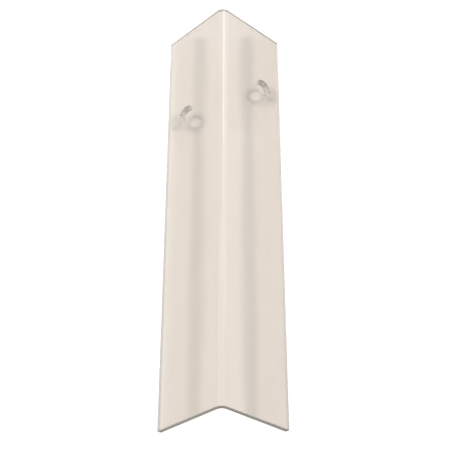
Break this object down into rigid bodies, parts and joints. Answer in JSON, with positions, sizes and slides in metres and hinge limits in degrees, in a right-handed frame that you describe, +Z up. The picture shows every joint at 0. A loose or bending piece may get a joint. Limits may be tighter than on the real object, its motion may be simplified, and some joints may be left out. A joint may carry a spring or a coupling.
{
  "type": "corner guard moulding",
  "caption": "Clear plastic corner guard, a thin right-angle strip with a rounded nose and countersunk screw holes near one end, fixed over an outside wall corner to protect it.",
  "frame": {"origin": "on the floor under the middle of the strip: bottom centre of its bounding box, with both wing tips resting on z = 0", "axes": "+Y along the strip towards its drilled end, +Z up through the rounded nose, +X towards the right wing seen from the undrilled end"},
  "size_m": [0.0402, 0.155, 0.0201],
  "materials": {
    "clear_plastic": "clear, smooth as extruded, with a faint warm tint"
  },
  "bodies": {
    "root": {"corner_guard": "clear_plastic"}
  },
  "joints": []
}
